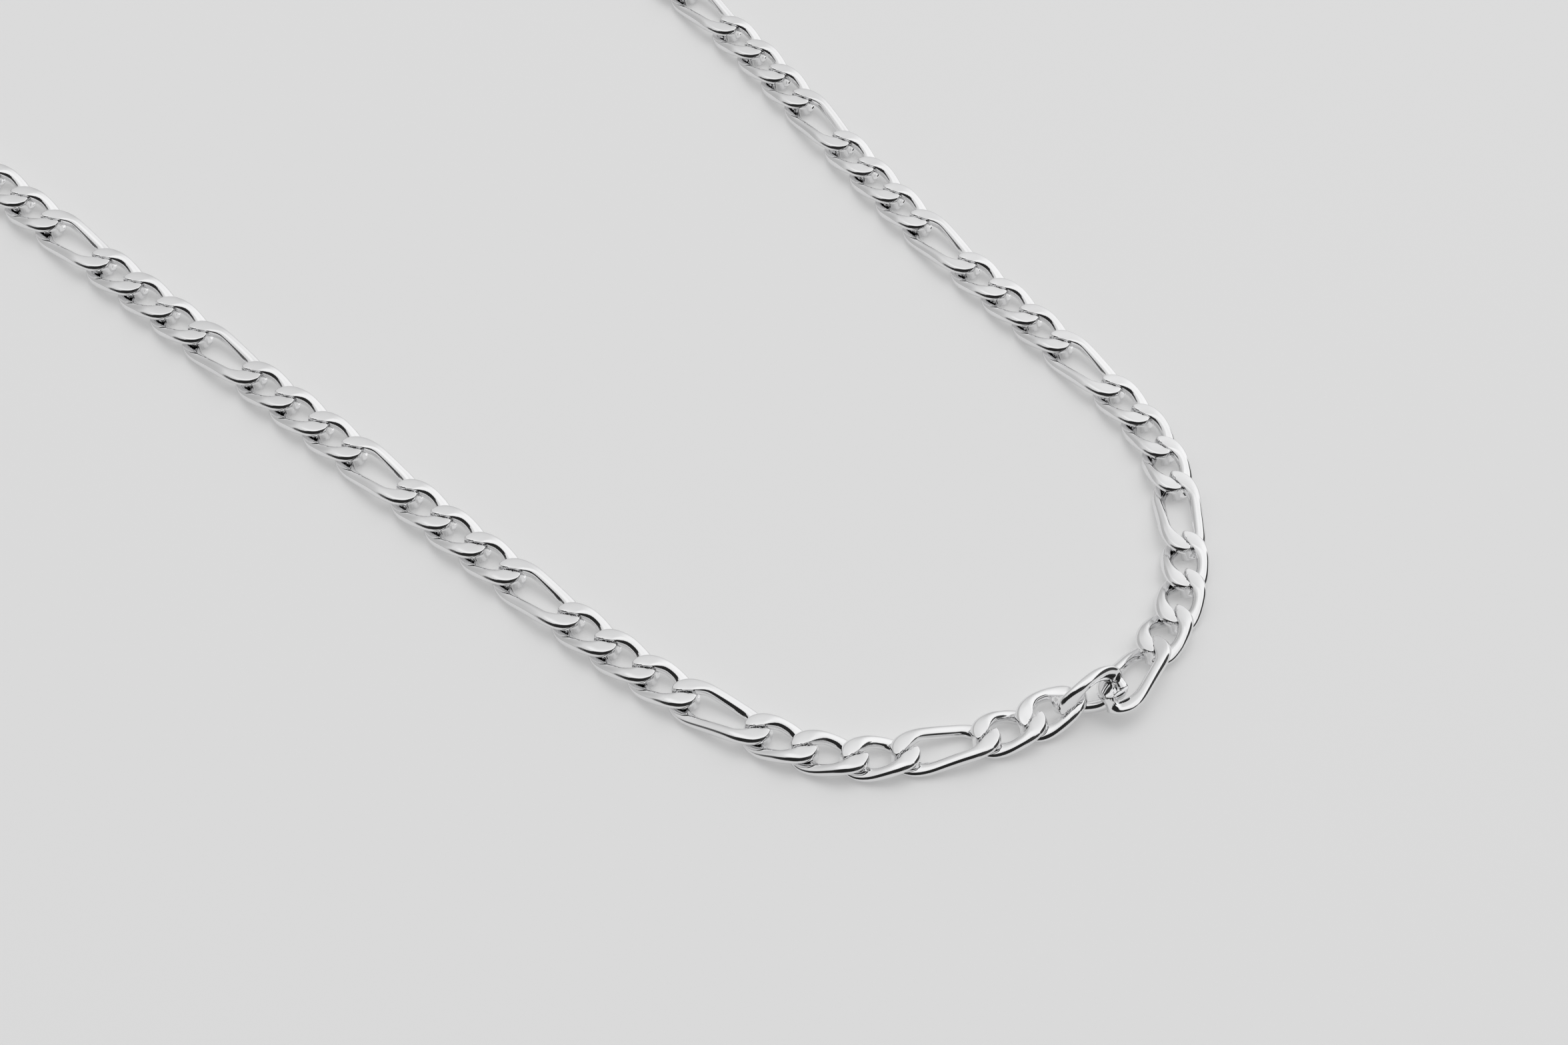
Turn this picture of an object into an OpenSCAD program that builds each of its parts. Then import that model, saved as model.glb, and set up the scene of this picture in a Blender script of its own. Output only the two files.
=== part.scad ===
// Figaro chain: three short curb links, then one long one, in a closed loop that lies on a table.
// Millimetres, +Z up. The origin is on the table, under the middle of the loop.

/* [Chain] */
// Length of the closed loop, measured along its links and its clasp
chain_len = 508; // [420:1:620]
// Short links between two long ones
short_count = 3; // [2:1:5]

/* [Link] */
// Outer length of a short link
short_len = 7.75; // [7.6:0.05:8.4]
// Outer length of a long link
long_len = 10.95; // [9:0.05:14]
// Outer width of every link
link_w = 4.9; // [4.8:0.05:5.6]
// Height of a flat link, from its lower to its upper pressed face
link_h = 2.1; // [2.05:0.05:2.4]
// Width of the wire where it is round, at the very ends of a link
wire_d = 1.1; // [1:0.02:1.16]
// Width of the wire in the middle of a link's sides, between its flat faces
bar_w = 1.2; // [1:0.05:1.4]
// Width of the wire where it is pressed flat
face_w = 1.45; // [1.2:0.05:1.5]
// Height of the wire where it is pressed flat
face_h = 0.95; // [0.8:0.01:0.96]
// Share of the wire's width that its flat faces take
face_share = 0.7; // [0.5:0.05:0.8]
// Free travel between two neighbours, from pulled tight to where they lie
end_play = 0.55; // [0.45:0.01:0.7]
// Roundness of a link's outline: 2 is an ellipse, more is squarer
outline_power = 2.2; // [2:0.05:2.6]

/* [Clasp] */
// Length of the clasp, from the joint at its one end to the joint at the other
clasp_len = 19; // [17:0.5:26]
// Width of the clasp's plate
clasp_w = 5.8; // [5:0.1:8]
// Height of the clasp's plate
clasp_h = 2.6; // [2.2:0.1:3.5]

/* [Hidden] */
$fn = 48;

// The way of the chain from the middle of the clasp: x, y, and the links' distance there as a share of usual
route = [
    [-82.0, 93.5, 1],
    [-95.0, 62.5, 1],
    [-79.0, 32.5, 1],
    [-62.0, 19.5, 1],
    [-45.5, 6.5, 1.01],
    [-22.5, -11.0, 1.01],
    [-4.0, -25.0, 0.99],
    [14.0, -39.0, 0.98],
    [28.5, -49.5, 0.98],
    [39.5, -55.0, 0.98],
    [49.0, -57.0, 0.99],
    [61.0, -53.0, 0.98],
    [69.5, -47.5, 0.93],
    [73.5, -44.0, 0.83],
    [77.5, -40.5, 0.95],
    [80.5, -31.0, 1.01],
    [79.5, -18.0, 0.99],
    [76.0, -9.0, 0.98],
    [67.5, 0.5, 0.98],
    [51.5, 17.0, 1],
    [37.0, 35.0, 0.98],
    [28.0, 46.0, 0.98],
    [4.0, 71.5, 1],
    [-19.5, 97.0, 1],
    [-52.0, 107.5, 1],
];
// Place in the route of the chain's one kink, where the links are pushed together
kink_index = 13;
// How the links at the kink lie. The columns are a link's place after the one that stands on edge, its
// roll, tilt and turn from the route, and as shares of its width its shift along and to the left.
kinked = [
    [-2, 0, -0.5, -0.4, 0.03, -0.01],
    [-1, 3.6, -4.7, 6.8, 0.048, 0.027],
    [0, 80.9, -4.6, -10.4, -0.118, -0.166],
    [1, -14.5, 6, 19.3, -0.151, -0.212],
    [2, -3.1, 3.2, -2.6, -0.028, 0.059],
    [3, 0, 0, -1.3, 0.002, 0.013],
];
flat = [0, 0, 0, 0, 0, 0];
// Steps from one point of the route to the next
route_steps = 8;
// Angles of the wire's sections round one end of a link, the first and last where its straight sides begin
side_angle = 72;
section_angles = [-side_angle, -42, -16, 0, 16, 42, side_angle];

// One point of a smooth curve from b to c, with a before and d after them
function curve(a, b, c, d, t) =
    (2 * b + (c - a) * t + (2 * a - 5 * b + 4 * c - d) * t * t + (3 * b - a - 3 * c + d) * t * t * t) / 2;
function route_at(i) = route[(i + len(route)) % len(route)];
way = [for (i = [0:len(route)], s = [0:route_steps - 1])
    curve(route_at(i - 1), route_at(i), route_at(i + 1), route_at(i + 2), s / route_steps)];
way_count = len(route) * route_steps;

// Chain that lies between two points of the way
function chain_between(p, q) = norm([q.x - p.x, q.y - p.y]) / ((p.z + q.z) / 2);
run = [for (i = 0, r = 0; i <= way_count; r = r + chain_between(way[i], way[i + 1]), i = i + 1) r];
way_scale = chain_len / run[way_count];
x_by_run = [for (i = [0:way_count]) [run[i] * way_scale, way[i].x * way_scale]];
y_by_run = [for (i = [0:way_count]) [run[i] * way_scale, way[i].y * way_scale]];
function middle(table) = (min([for (row = table) row[1]]) + max([for (row = table) row[1]])) / 2;
centre = [middle(x_by_run), middle(y_by_run)];
function place(r) = [lookup(r, x_by_run), lookup(r, y_by_run)] - centre;

// Links: joint to joint they measure less than over all, because neighbours reach into each other
reach = short_len / 2 - (short_len - 2 * wire_d - end_play) / 2;
function is_long(k) = k % (short_count + 1) == short_count;
function link_len(k) = is_long(k) ? long_len : short_len;
function pitch(k) = link_len(k) - 2 * reach;
chain_run = chain_len - clasp_len;
pattern_run = short_count * (short_len - 2 * reach) + long_len - 2 * reach;
link_max = ceil(chain_run / pattern_run) * (short_count + 1);
joints = [for (k = 0, r = 0; k <= link_max; r = r + pitch(k), k = k + 1) r];
link_count = min([for (k = [0:link_max]) if (joints[k] >= chain_run) k]);
slack = chain_run / joints[link_count];
function joint_run(k) = clasp_len / 2 + joints[k] * slack;

// The long link that lies nearest to the kink, with the one before it standing on edge
kink_run = run[kink_index * route_steps] * way_scale;
kink_off = min([for (k = [1:link_count - 1]) if (is_long(k)) abs(joint_run(k) - kink_run)]);
kink_long = [for (k = [1:link_count - 1]) if (is_long(k) && abs(joint_run(k) - kink_run) <= kink_off) k][0];
function lie(k) = concat([for (row = kinked) if (kink_long - 1 + row[0] == k) row], [flat])[0];

// Outline of a link, as the outermost point of each wire section, and its direction outwards
out_w = link_w / pow(sin(side_angle), 2 / outline_power);
function power(v, p) = sign(v) * pow(abs(v), p);
function out_point(a) = [short_len / 2 * power(cos(a), 2 / outline_power), out_w / 2 * power(sin(a), 2 / outline_power)];
function out_way(a) = let (n = [power(cos(a), 2 - 2 / outline_power) / short_len,
    power(sin(a), 2 - 2 / outline_power) / out_w]) n / norm(n);

// Section of the wire: flat above and below, upright, on the high or the low side of the link.
// At the very end of the link the wire crosses over, so there it takes the whole height.
function section(a, extra) =
    let (end = a == 0 || a == 180,
        w = end ? wire_d : abs(sin(a)) >= sin(side_angle) ? bar_w : face_w,
        h = end ? link_h : face_h,
        lift = end ? 0 : -sign(sin(a) * cos(a)) * (link_h - face_h) / 2,
        out = out_way(a),
        mid = out_point(a) + [sign(cos(a)) * extra / 2, 0] - out * w / 2)
    [for (uv = [[1, 0], [face_share, 1], [-face_share, 1], [-1, 0], [-face_share, -1], [face_share, -1]])
        [mid.x + out.x * uv[0] * w / 2, mid.y + out.y * uv[0] * w / 2, lift + uv[1] * h / 2]];

// All corners of a link that is longer by extra than a short one, and the faces between them
link_angles = concat(section_angles, [for (a = section_angles) a + 180]);
corners = 6;
function link_points(extra) = [for (a = link_angles) each section(a, extra)];
link_faces = [for (i = [0:len(link_angles) - 1], c = [0:corners - 1])
    let (j = (i + 1) % len(link_angles), d = (c + 1) % corners)
    each [[i * corners + c, i * corners + d, j * corners + d], [i * corners + c, j * corners + d, j * corners + c]]];

// Height at which the middle of a rolled and tilted link is when it just stands on the table
function stand(extra, roll, tilt) = -min([for (p = link_points(extra))
    p.z * cos(roll) * cos(tilt) + p.y * sin(roll) * cos(tilt) - p.x * sin(tilt)]);

module link(extra) {
    polyhedron(points = link_points(extra), faces = link_faces, convexity = 6);
}

// One link of the chain, laid between its two joints
module laid_link(k) {
    a = place(joint_run(k));
    b = place(joint_run(k + 1));
    heading = atan2(b.y - a.y, b.x - a.x);
    extra = link_len(k) - short_len;
    own = lie(k);
    roll = own[1];
    tilt = own[2];
    turn = own[3];
    shift = [own[4], own[5], 0] * link_w;
    translate([(a.x + b.x) / 2, (a.y + b.y) / 2, stand(extra, roll, tilt)])
        rotate([0, 0, heading])
            translate(shift)
                rotate([roll, tilt, turn])
                    link(extra);
}

module chain_left() {
    color("silver")
        for (k = [0:floor(link_count / 2) - 1])
            laid_link(k);
}

module chain_right() {
    color("silver")
        for (k = [floor(link_count / 2):link_count - 1])
            laid_link(k);
}

// Plain oval plate with an open loop of the links' own form at each end
module clasp() {
    a = place(chain_len - clasp_len / 2);
    b = place(clasp_len / 2);
    heading = atan2(b.y - a.y, b.x - a.x);
    loop_x = clasp_len / 2 - short_len / 2 + reach;
    plate_end = loop_x + wire_d / 4 - clasp_w / 2;
    color("silver")
        translate([(a.x + b.x) / 2, (a.y + b.y) / 2, 0])
            rotate([0, 0, heading]) {
                for (side = [-1, 1]) {
                    translate([side * plate_end, 0, 0])
                        cylinder(d = clasp_w, h = clasp_h);
                    translate([side * loop_x, 0, link_h / 2])
                        link(0);
                }
                translate([-plate_end, -clasp_w / 2, 0])
                    cube([2 * plate_end, clasp_w, clasp_h]);
            }
}

chain_left();
chain_right();
clasp();
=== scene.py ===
import math

import bpy
import numpy as np
from mathutils import Matrix, Vector


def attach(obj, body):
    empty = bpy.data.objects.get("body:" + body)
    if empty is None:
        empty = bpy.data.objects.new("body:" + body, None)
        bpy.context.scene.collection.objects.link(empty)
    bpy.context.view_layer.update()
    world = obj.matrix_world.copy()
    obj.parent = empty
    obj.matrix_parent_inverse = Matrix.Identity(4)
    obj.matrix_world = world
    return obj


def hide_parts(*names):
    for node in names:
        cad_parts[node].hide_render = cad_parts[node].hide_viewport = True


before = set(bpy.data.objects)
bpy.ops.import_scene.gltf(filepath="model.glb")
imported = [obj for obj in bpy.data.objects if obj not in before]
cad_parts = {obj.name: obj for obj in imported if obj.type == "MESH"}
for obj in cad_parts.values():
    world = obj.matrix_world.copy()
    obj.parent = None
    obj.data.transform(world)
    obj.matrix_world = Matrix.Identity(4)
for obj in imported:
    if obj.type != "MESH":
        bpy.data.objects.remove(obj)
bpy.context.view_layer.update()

mm = 0.001  # sizes below are in millimetres


# one link: a bent wire whose corners are pressed flat, high and low in turn
linkForm = {
    "shortLength": 7.75,
    "longFrom": 0.5,        # a link that is longer than this beyond a short one is a long one
    "width": 4.94,
    "height": 2.1,
    "outlinePower": 2.35,   # 2 is an ellipse, more is squarer
    "endWire": 1.08,        # width of the wire where it crosses over at the ends
    "barWire": 1.165,       # and at the middle of a bar
    "openingSlope": 0.62,   # the opening narrows at this rate towards the ends
    "openingRound": 0.12,   # roundness of its corners
    "lip": 0.115,           # how far the high faces reach over that edge
    "lipSharpness": 1.2,    # how far the high faces keep their height towards the opening
    "lipFrom": 1.5,         # but only from here to the link's end
    "outerDrop": 0.46,      # the outer side is rounder: its middle is nearer to the link's middle
    "outerFuller": 0.12,    # and it is taller
    "tipFrom": 3.25,        # from here to the link's end the high face's tip is rounded off
    "tipRound": 2.2,
    "wireHalf": 0.62,       # half of the wire's own height
    "wireRise": 0.74,       # how far its middle lies above or below the link's middle
    "crossAtBar": 3.0,      # half of the way along a short link's bar in which it changes height
    "stepWidth": 0.18,      # at an end the top first falls in a short step
    "stepOut": 0.43,        # share of the step beyond the edge
    "slopeWidth": 0.65,     # and then in a long slope
    "stepShare": 0.78,      # share of the fall that the step takes
    "shoulder": 0.022,      # softness of the pressed faces' edges
    "crown": 0.06,          # how much lower a pressed face is at its edges
    "stations": 86,         # sections round a short link
    "stationsLong": 96,     # and round a long one
    "endDensity": 2.2,      # how much closer they stand at the ends
    "innerSpread": 0.25,    # how much further apart they stand in the opening's corners
    # the section's points from its outer side over the top to its inner side, close at the shoulders
    "topAngles": (0, 14, 26, 37, 45, 50, 54, 60, 90, 114, 132, 144, 151, 156, 161, 168, 180),
    "underAngles": (90, 60, 36, 28, 18, 0),
}


def smoothSign(v):
    return np.sin(np.pi / 2 * np.clip(v, -1, 1))


def smoothStep(v):
    v = np.clip(v, 0, 1)
    return v * v * (3 - 2 * v)


# the lesser of two values, rounded where they meet
def softLess(a, b, soft):
    return -soft * np.logaddexp(-a / soft, -b / soft)


# points on the outer edge, closer together at the ends, from the right end and counter-clockwise
def outerOutline(count, extra, form):
    a, b, p = form["shortLength"] / 2, form["width"] / 2, form["outlinePower"]
    fineSteps = 4000
    t = np.linspace(0, 2 * np.pi, fineSteps + 1)
    c, s = np.cos(t), np.sin(t)
    x = a * np.sign(c) * np.abs(c) ** (2 / p) + np.sign(c) * extra / 2
    y = b * np.sign(s) * np.abs(s) ** (2 / p)
    closer = 1 + form["endDensity"] * np.clip((np.abs(x) - extra / 2) / a * 2 - 1, 0, 1)
    steps = np.hypot(np.diff(x), np.diff(y)) * (closer[1:] + closer[:-1]) / 2
    run = np.concatenate([[0], np.cumsum(steps)])
    at = np.linspace(0, run[-1], count, endpoint=False)
    return np.interp(at, run, x), np.interp(at, run, y)


# distance from the long axis to the opening's edge, less than nothing past its end
def openingEdge(x, extra, form):
    past = (form["shortLength"] + extra) / 2 - form["endWire"] - np.abs(x)
    tip = form["tipRound"] * np.maximum(np.abs(x) - extra / 2 - form["tipFrom"], 0) ** 2
    bar = form["width"] / 2 - form["barWire"] + 0 * past
    return softLess(form["openingSlope"] * past, bar, form["openingRound"]) + tip


# the wire's level above the link's middle (1 high, -1 low), for its upper side
def wireLevel(x, y, extra, form):
    along = smoothSign(np.abs(x) / (form["crossAtBar"] + extra / 2))
    depth = -np.sign(x) * y - openingEdge(x, extra, form) + form["lip"]
    slope = smoothStep((depth + form["slopeWidth"]) / form["slopeWidth"])
    step = smoothStep((depth + form["stepWidth"] * form["stepOut"]) / form["stepWidth"])
    return along * (-1 + 2 * (1 - form["stepShare"]) * slope + 2 * form["stepShare"] * step)


# vertices and quads of one link in its own frame, longer than a short one by extra
def linkMesh(extra, form):
    stations = form["stationsLong"] if extra > form["longFrom"] else form["stations"]
    outX, outY = outerOutline(stations, extra, form)
    innerEnd = form["shortLength"] / 2 - form["endWire"] - form["lip"] / form["openingSlope"]
    reach = np.clip((np.abs(outX) - extra / 2) / (form["shortLength"] / 2), 0, 1)
    further = 1 + form["innerSpread"] * (1 - reach) * (1 - np.abs(outY) / form["width"] * 2)
    inX = np.sign(outX) * (np.minimum(np.abs(outX), extra / 2) + innerEnd * reach * further)
    inY = np.sign(outY) * np.maximum(openingEdge(inX, extra, form) - form["lip"], 0)
    # the underside is the upper side turned over, so its angles go round from 180 to 360
    under = form["underAngles"]
    angles = [*form["topAngles"], *(180 + v for v in under[-2::-1]), *(360 - v for v in under[1:-1])]
    a = np.radians(angles)
    inward = (1 - np.cos(a)) / 2
    x = outX[:, None] + (inX - outX)[:, None] * inward
    y = outY[:, None] + (inY - outY)[:, None] * inward
    # the wire's own middle and half height, between the levels of its upper side and its underside
    upper, lower = wireLevel(x, y, extra, form), -wireLevel(x, -y, extra, form)
    level, gape = (upper + lower) / 2, (upper - lower) / 2
    outward = (1 + np.cos(a)) / 2 * (1 + level * np.sin(a)) / 2
    middle = form["wireRise"] * level * (1 - form["outerDrop"] * outward)
    tall = (form["wireHalf"] + form["wireRise"] * gape) * (1 + form["outerFuller"] * outward)
    lifted = np.clip(middle / form["wireRise"] * np.sign(np.sin(a)), 0, 1)
    lifted = lifted * smoothStep(np.abs(x) - extra / 2 - form["lipFrom"])
    squarer = 1 + form["lipSharpness"] * lifted * np.maximum(-np.cos(a), 0)
    # what rises past the pressed faces is cut off there
    face = form["height"] / 2 - form["crown"] * np.cos(a) ** 2 + 0 * x
    z = softLess(middle + tall * squarer * np.sin(a), face, form["shoulder"])
    z = -softLess(-z, face, form["shoulder"])
    verts = np.stack([x, y, z], -1).reshape(-1, 3)
    corners = len(a)
    i, k = np.meshgrid(np.arange(stations), np.arange(corners), indexing="ij")
    j, l = (i + 1) % stations, (k + 1) % corners
    quads = np.stack([i * corners + k, j * corners + k, j * corners + l, i * corners + l], -1)
    return verts, quads.reshape(-1, 4)


# the points of each loose solid in a CAD node
def islands(obj):
    mesh = obj.data
    co = np.empty(len(mesh.vertices) * 3, np.float32)
    mesh.vertices.foreach_get("co", co)
    places, same = np.unique(co.reshape(-1, 3), axis=0, return_inverse=True)
    edges = np.empty(len(mesh.edges) * 2, np.int32)
    mesh.edges.foreach_get("vertices", edges)
    edges = same.reshape(-1)[edges.reshape(-1, 2)]
    label = np.arange(len(places))
    while True:  # the lowest number spreads through each solid
        low = np.minimum(label[edges[:, 0]], label[edges[:, 1]])
        new = label.copy()
        np.minimum.at(new, edges[:, 0], low)
        np.minimum.at(new, edges[:, 1], low)
        new = new[new]
        if (new == label).all():
            break
        label = new
    return [places[label == v].astype(float) for v in np.unique(label)]


# middle, axes and size of one solid: its length, width and height run along the axes
def restingPlace(cloud):
    mid = cloud.mean(0)
    spread = (cloud - mid).T @ (cloud - mid)
    axes = np.linalg.eigh(spread)[1][:, ::-1]
    axes[:, 2] = np.cross(axes[:, 0], axes[:, 1])
    if axes[2, 2] < 0:
        axes[:, 1:] *= -1  # its finer side up
    return mid, axes, np.ptp((cloud - mid) @ axes, axis=0)


# one fused body from parts of (vertices, quads, tone), in millimetres
def makePiece(name, parts, material, replaced):
    verts, quads, tones, base = [], [], [], 0
    for partVerts, partQuads, tone in parts:
        verts.append(partVerts)
        quads.append(partQuads + base)
        tones.append(np.full(len(partVerts), tone))
        base += len(partVerts)
    verts, quads = np.concatenate(verts) * mm, np.concatenate(quads)
    mesh = bpy.data.meshes.new(name)
    mesh.from_pydata(verts.tolist(), [], quads.tolist())
    linkTone = mesh.attributes.new("linkTone", "FLOAT", "POINT")
    linkTone.data.foreach_set("value", np.concatenate(tones).astype(np.float32))
    mesh.materials.append(material)
    mesh.shade_smooth()
    obj = bpy.data.objects.new(name, mesh)
    bpy.context.scene.collection.objects.link(obj)
    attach(obj, "root")
    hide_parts(replaced)
    print(name, "has", len(parts), "parts and", 2 * len(quads), "triangles")


# polished steel, the same for links and clasp
steelLook = {
    "brightColor": (0.90, 0.90, 0.905, 1),
    "dullColor": (0.80, 0.80, 0.805, 1),
    "linkTones": (0.1, 0.5),    # from dull to bright, drawn for each link
    "claspTone": 0.3,
    "waveTone": 0.6,            # how much of the tone changes with the waves
    "roughLow": 0.035,
    "roughHigh": 0.10,          # in the scratches
    "waveScale": 420.0,
    "claspWaveScale": 260.0,
    "waveHeight": 0.000006,
    "scratchScale": 2200.0,
    "scratchStretch": (1.0, 0.12, 1.0),
    "scratchTurn": (0.3, 0.2, 0.7),
    "scratchFrom": 0.56,        # less of the noise than this is no scratch
    "scratchFull": 0.72,
    "scratchHeight": -0.12,     # against the waves
}


# a node with its settings and the values of its named inputs
def newNode(tree, kind, **values):
    node = tree.nodes.new(kind)
    for key, value in values.items():
        if hasattr(node, key):
            setattr(node, key, value)
        else:
            node.inputs[key.replace("_", " ")].default_value = value
    return node


# soft waves and hair-fine scratches of polished metal
def buildPolishMarks(look):
    group = bpy.data.node_groups.new("polishMarks", "ShaderNodeTree")
    face = group.interface
    for name, value in (("Wave Scale", look["waveScale"]), ("Scratch Scale", look["scratchScale"])):
        socket = face.new_socket(name, in_out="INPUT", socket_type="NodeSocketFloat")
        socket.default_value = value
    for name in ("Tone", "Gloss", "Height"):
        face.new_socket(name, in_out="OUTPUT", socket_type="NodeSocketFloat")
    start = group.nodes.new("NodeGroupInput")
    end = group.nodes.new("NodeGroupOutput")
    link = group.links.new
    where = group.nodes.new("ShaderNodeTexCoord")
    waves = newNode(group, "ShaderNodeTexNoise", Detail=2.0, Roughness=0.5)
    link(where.outputs["Object"], waves.inputs["Vector"])
    link(start.outputs["Wave Scale"], waves.inputs["Scale"])
    stretch = newNode(group, "ShaderNodeMapping",
                      Scale=look["scratchStretch"], Rotation=look["scratchTurn"])
    link(where.outputs["Object"], stretch.inputs["Vector"])
    hairs = newNode(group, "ShaderNodeTexNoise", Detail=4.0, Roughness=0.6)
    link(stretch.outputs["Vector"], hairs.inputs["Vector"])
    link(start.outputs["Scratch Scale"], hairs.inputs["Scale"])
    sharp = newNode(group, "ShaderNodeMapRange",
                    From_Min=look["scratchFrom"], From_Max=look["scratchFull"])
    link(hairs.outputs["Fac"], sharp.inputs["Value"])
    both = newNode(group, "ShaderNodeMath", operation="MULTIPLY_ADD")
    both.inputs[1].default_value = look["scratchHeight"]
    link(sharp.outputs["Result"], both.inputs[0])
    link(waves.outputs["Fac"], both.inputs[2])
    link(waves.outputs["Fac"], end.inputs["Tone"])
    link(sharp.outputs["Result"], end.inputs["Gloss"])
    link(both.outputs["Value"], end.inputs["Height"])
    return group


def buildSteel(name, look, marks, waveScale):
    material = bpy.data.materials.new(name)
    material.use_nodes = True
    tree = material.node_tree
    link = tree.links.new
    shader = tree.nodes["Principled BSDF"]
    shader.inputs["Metallic"].default_value = 1.0
    polish = newNode(tree, "ShaderNodeGroup", node_tree=marks,
                     Wave_Scale=waveScale, Scratch_Scale=look["scratchScale"])
    # color: each link's own tone, a little changed by the waves
    tone = newNode(tree, "ShaderNodeAttribute", attribute_name="linkTone")
    mix = newNode(tree, "ShaderNodeMath", operation="MULTIPLY_ADD")
    mix.inputs[1].default_value = look["waveTone"]
    link(polish.outputs["Tone"], mix.inputs[0])
    link(tone.outputs["Fac"], mix.inputs[2])
    color = newNode(tree, "ShaderNodeMix", data_type="RGBA", A=look["dullColor"], B=look["brightColor"])
    link(mix.outputs["Value"], color.inputs["Factor"])
    link(color.outputs["Result"], shader.inputs["Base Color"])
    rough = newNode(tree, "ShaderNodeMapRange", To_Min=look["roughLow"], To_Max=look["roughHigh"])
    link(polish.outputs["Gloss"], rough.inputs["Value"])
    link(rough.outputs["Result"], shader.inputs["Roughness"])
    bump = newNode(tree, "ShaderNodeBump", Strength=1.0, Distance=look["waveHeight"])
    link(polish.outputs["Height"], bump.inputs["Height"])
    link(bump.outputs["Normal"], shader.inputs["Normal"])
    return material


polishMarks = buildPolishMarks(steelLook)
linkSteel = buildSteel("linkSteel", steelLook, polishMarks, steelLook["waveScale"])
claspSteel = buildSteel("claspSteel", steelLook, polishMarks, steelLook["claspWaveScale"])
print("materials made")

shortLink = linkMesh(0.0, linkForm)
toneSource = np.random.default_rng(7)


# a dressed link in the place of each solid link of a CAD node
def dressStrand(name, node):
    parts = []
    for cloud in islands(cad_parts[node]):
        mid, axes, size = restingPlace(cloud)
        extra = size[0] / mm - linkForm["shortLength"]
        verts, quads = shortLink if extra < linkForm["longFrom"] else linkMesh(extra, linkForm)
        parts.append((verts @ axes.T + mid / mm, quads, toneSource.uniform(*steelLook["linkTones"])))
    makePiece(name, parts, linkSteel, node)


dressStrand("leftStrand", "chain_left")
dressStrand("rightStrand", "chain_right")
print("strands made")

# the clasp: an oval plate with softly rounded edges, and a link's loop at each end
claspForm = {
    "plateLength": 14.55,
    "plateWidth": 5.8,
    "plateHeight": 2.6,
    "edge": 0.45,       # radius of the plate's edges
    "edgeSteps": 7,     # faces round them
    "core": 0.1,        # half width of the strip along the middle of the flat faces
    "loopAt": 7.0,      # middle of each loop, from the clasp's middle
    "steps": 120,       # points round the plate
}


def plateMesh(form):
    half = (form["plateLength"] - form["plateWidth"]) / 2
    r, edge, n = form["plateWidth"] / 2, form["edge"], form["steps"]
    arc = np.radians(np.linspace(0, 90, form["edgeSteps"] + 1))
    fromSide, fromFace = edge * (1 - np.sin(arc)), edge * (1 - np.cos(arc))
    middle = [r - form["core"]]
    # rings from the middle of the lower face, up the side, to the middle of the upper face
    inset = np.concatenate([middle, fromSide, fromFace, middle])
    level = np.concatenate([[0], fromFace, form["plateHeight"] - fromSide, [form["plateHeight"]]])
    t = 2 * np.pi * (np.arange(n) + 0.5) / n
    x = (r - inset)[:, None] * np.cos(t) + half * np.sign(np.cos(t))
    y = (r - inset)[:, None] * np.sin(t)
    verts = np.stack([x, y, level[:, None] + 0 * x], -1).reshape(-1, 3)
    k, i = np.meshgrid(np.arange(len(level) - 1), np.arange(n), indexing="ij")
    j = (i + 1) % n
    sides = np.stack([k * n + i, k * n + j, k * n + n + j, k * n + n + i], -1).reshape(-1, 4)
    i = np.arange(n // 2 - 1)
    bottom = np.stack([n - 1 - i, n - 2 - i, i + 1, i], -1)
    top = bottom[:, ::-1] + (len(level) - 1) * n
    return verts, np.concatenate([sides, bottom, top])


def dressClasp(form):
    cloud = islands(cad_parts["clasp"])[0]
    mid, axes, _ = restingPlace(cloud)
    mid[2] = cloud[:, 2].min()
    loopVerts, loopQuads = shortLink
    shapes = [plateMesh(form)]
    for side in (-1, 1):
        shapes.append((loopVerts + [side * form["loopAt"], 0, linkForm["height"] / 2], loopQuads))
    parts = [(verts @ axes.T + mid / mm, quads, steelLook["claspTone"]) for verts, quads in shapes]
    makePiece("claspBody", parts, claspSteel, "clasp")


dressClasp(claspForm)
print("clasp made")

cameraView = {
    "place": (0.047177, -0.275056, 0.25175),
    "down": 48.5,    # degrees below level
    "roll": 6.0,
    "lens": 76.53,
    "sensor": 36.0,
    "nearest": 0.01,
}
camera = bpy.data.objects.new("camera", bpy.data.cameras.new("camera"))
camera.data.lens = cameraView["lens"]
camera.data.sensor_width = cameraView["sensor"]
camera.data.clip_start = cameraView["nearest"]
camera.matrix_world = (Matrix.Translation(cameraView["place"])
                       @ Matrix.Rotation(math.radians(90 - cameraView["down"]), 4, "X")
                       @ Matrix.Rotation(math.radians(cameraView["roll"]), 4, "Z"))
bpy.context.scene.collection.objects.link(camera)
bpy.context.scene.camera = camera
print("camera placed")

studio = {
    "floorColor": (0.53, 0.53, 0.53, 1),
    "floorRough": 0.9,
    "floorShine": 0.1,
    # painted light: the floor glows evenly though it is no lamp, which lightens the shadows under and
    # between the links
    "floorPaintedGlow": 0.29,
    "floorSize": 4.0,
    "floorDrop": 0.00002,   # below the links, so that the two never share a face
    "seenSky": 0.70,
    "skyLow": 0.50,         # at the horizon
    "skyHigh": 0.84,        # overhead
    "panelPlace": (0.12, 0.2, 0.8),
    "panelSize": 0.7,
    "panelPower": 1.6,
}
# soft cards round the table: azimuth, elevation, full within, gone beyond (degrees), brightness
cards = [
    ("softbox", 90, 86, 10, 30, 1.02),
    ("rightWindow", 30, 25, 20, 60, 1.05),
    ("farLeftWall", 150, 10, 10, 45, 0.50),
    ("leftDark", -145, 20, 8, 20, 0.10),
    ("nearLeftDark", -120, 24, 19, 25, 0.03),
    ("nearDark", -90, 35, 28, 32, 0.02),
    ("nearRightDark", -58, 34, 26, 30, 0.02),
    ("rightDark", -30, 18, 17, 24, 0.04),
    ("farRightDark", 14, 14, 21, 27, 0.05),
]


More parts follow.
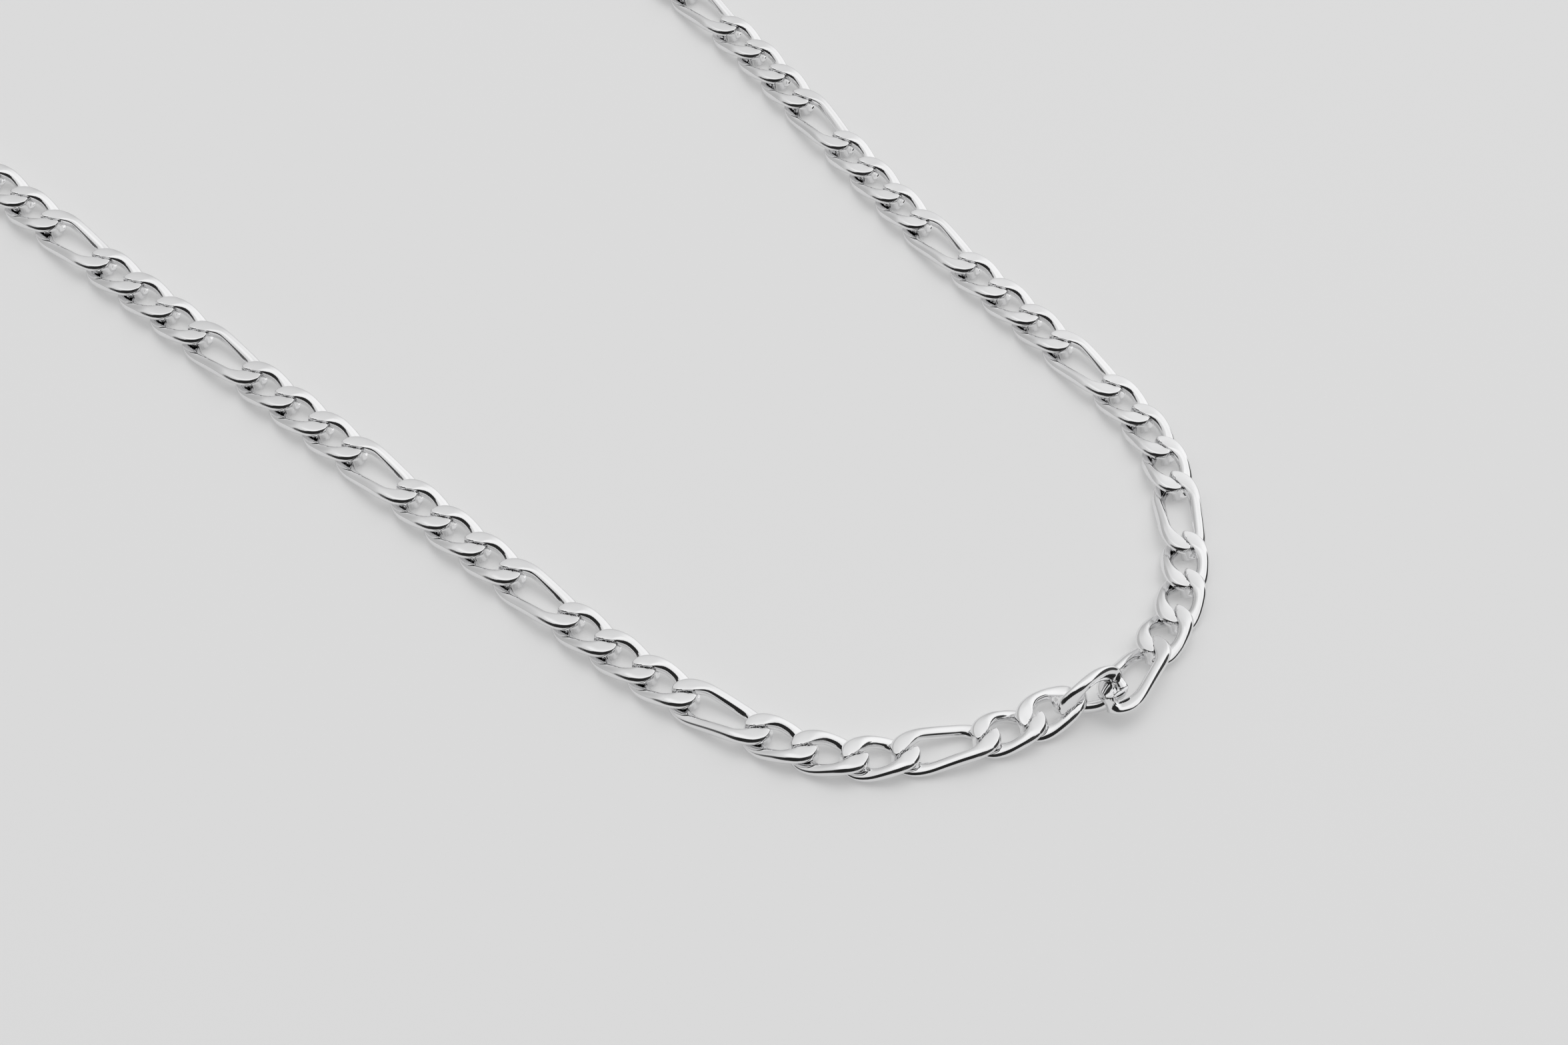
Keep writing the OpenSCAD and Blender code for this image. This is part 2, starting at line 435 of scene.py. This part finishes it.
def buildFloor():
    s = studio["floorSize"] / 2
    mesh = bpy.data.meshes.new("floor")
    mesh.from_pydata([(-s, -s, 0), (s, -s, 0), (s, s, 0), (-s, s, 0)], [], [(0, 1, 2, 3)])
    floor = bpy.data.objects.new("floor", mesh)
    floor.location.z = -studio["floorDrop"]
    bpy.context.scene.collection.objects.link(floor)
    paper = bpy.data.materials.new("floorPaper")
    paper.use_nodes = True
    shader = paper.node_tree.nodes["Principled BSDF"]
    shader.inputs["Base Color"].default_value = studio["floorColor"]
    shader.inputs["Roughness"].default_value = studio["floorRough"]
    shader.inputs["Specular IOR Level"].default_value = studio["floorShine"]
    # painted light: an even glow of the floor that lightens the shadows under and between the links
    shader.inputs["Emission Color"].default_value = (1, 1, 1, 1)
    shader.inputs["Emission Strength"].default_value = studio["floorPaintedGlow"]
    mesh.materials.append(paper)


def towards(azimuth, elevation):
    a, e = math.radians(azimuth), math.radians(elevation)
    return Vector((math.cos(a) * math.cos(e), math.sin(a) * math.cos(e), math.sin(e)))


# a sky that brightens upwards, with the cards laid over it one after another
def buildSky():
    world = bpy.data.worlds.new("studioSky")
    bpy.context.scene.world = world
    world.use_nodes = True
    tree = world.node_tree
    link = tree.links.new
    where = tree.nodes.new("ShaderNodeTexCoord")
    split = tree.nodes.new("ShaderNodeSeparateXYZ")
    link(where.outputs["Generated"], split.inputs["Vector"])
    rise = newNode(tree, "ShaderNodeMapRange", To_Min=studio["skyLow"], To_Max=studio["skyHigh"])
    link(split.outputs["Z"], rise.inputs["Value"])
    light = rise.outputs["Result"]
    for name, azimuth, elevation, inner, outer, brightness in cards:
        near = newNode(tree, "ShaderNodeVectorMath", operation="DOT_PRODUCT", label=name)
        near.inputs[1].default_value = towards(azimuth, elevation)
        link(where.outputs["Generated"], near.inputs[0])
        share = newNode(tree, "ShaderNodeMapRange", interpolation_type="SMOOTHSTEP",
                        From_Min=math.cos(math.radians(outer)), From_Max=math.cos(math.radians(inner)))
        link(near.outputs["Value"], share.inputs["Value"])
        mix = newNode(tree, "ShaderNodeMix", B=brightness)
        link(share.outputs["Result"], mix.inputs["Factor"])
        link(light, mix.inputs["A"])
        light = mix.outputs["Result"]
    # what the camera sees past the floor is plain
    path = tree.nodes.new("ShaderNodeLightPath")
    seen = newNode(tree, "ShaderNodeMix", B=studio["seenSky"])
    link(path.outputs["Is Camera Ray"], seen.inputs["Factor"])
    link(light, seen.inputs["A"])
    link(seen.outputs["Result"], tree.nodes["Background"].inputs["Color"])


# lights the chain and its table from above, and isn't seen in the metal
def buildPanel():
    light = bpy.data.lights.new("topPanel", "AREA")
    light.shape = "DISK"
    light.size = studio["panelSize"]
    light.energy = studio["panelPower"]
    panel = bpy.data.objects.new("topPanel", light)
    place = Vector(studio["panelPlace"])
    aim = place.to_track_quat("Z", "Y").to_matrix().to_4x4()
    panel.matrix_world = Matrix.Translation(place) @ aim
    panel.visible_glossy = False
    bpy.context.scene.collection.objects.link(panel)


buildFloor()
buildSky()
buildPanel()
bpy.context.scene.view_settings.view_transform = "Standard"
bpy.context.scene.view_settings.look = "None"
print("floor and light made")
